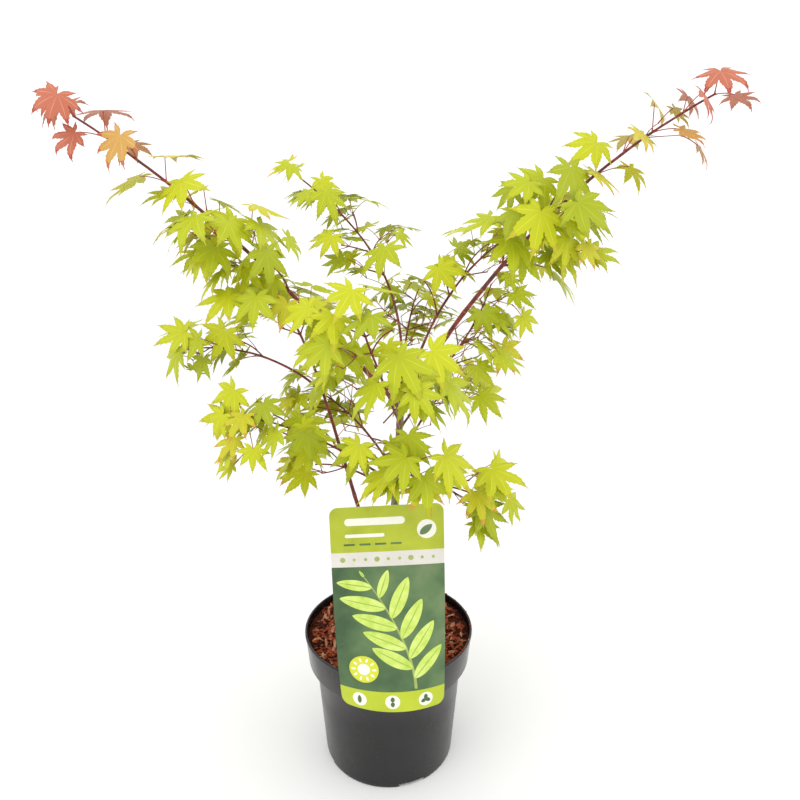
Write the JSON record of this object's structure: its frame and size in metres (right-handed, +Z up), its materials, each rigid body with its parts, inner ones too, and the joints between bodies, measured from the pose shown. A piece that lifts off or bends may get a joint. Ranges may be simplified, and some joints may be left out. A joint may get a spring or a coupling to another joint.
{
  "type": "potted japanese maple",
  "caption": "Young golden-leaved japanese maple with two long whips and several short boughs, in a filled round nursery pot with a picture card on its rim.",
  "frame": {"origin": "middle of the pot's flat underside", "axes": "+Z up the plant, -Z out of the pot's flat underside, -Y out of the card's printed face"},
  "size_m": [0.6113, 0.3776, 0.7259],
  "materials": {
    "pot_plastic": "satin dark charcoal plastic",
    "compost": "rough reddish-brown bark and coir chips",
    "label_card": "glossy printed plastic card",
    "trunk_bark": "rough grey-green bark",
    "bough_bark": "smooth red-brown young bark",
    "foliage": "thin matt golden-lime leaves"
  },
  "bodies": {
    "root": {"pot": "pot_plastic", "soil": "compost", "label_card": "label_card", "trunk": "trunk_bark", "stem_left": "bough_bark", "bough_left": "bough_bark", "bough_right": "bough_bark", "bough_right_inner": "bough_bark", "bough_middle": "bough_bark", "bough_left_low": "bough_bark", "bough_left_lower": "bough_bark", "bough_left_bottom": "bough_bark", "bough_right_mid": "bough_bark", "bough_front_left": "bough_bark", "bough_front_right": "bough_bark", "bough_front_low": "bough_bark", "bough_back": "bough_bark", "bough_back_left": "bough_bark", "bough_back_right": "bough_bark", "bough_right_low": "bough_bark", "foliage_left_stem": "foliage", "foliage_left_whip": "foliage", "foliage_right_whip": "foliage", "foliage_right_inner": "foliage", "foliage_middle": "foliage", "foliage_left_low": "foliage", "foliage_left_lower": "foliage", "foliage_left_bottom": "foliage", "foliage_right_mid": "foliage", "foliage_front_left": "foliage", "foliage_front_right": "foliage", "foliage_front_low": "foliage", "foliage_back": "foliage", "foliage_back_left": "foliage", "foliage_back_right": "foliage", "foliage_right_low": "foliage"}
  },
  "joints": []
}
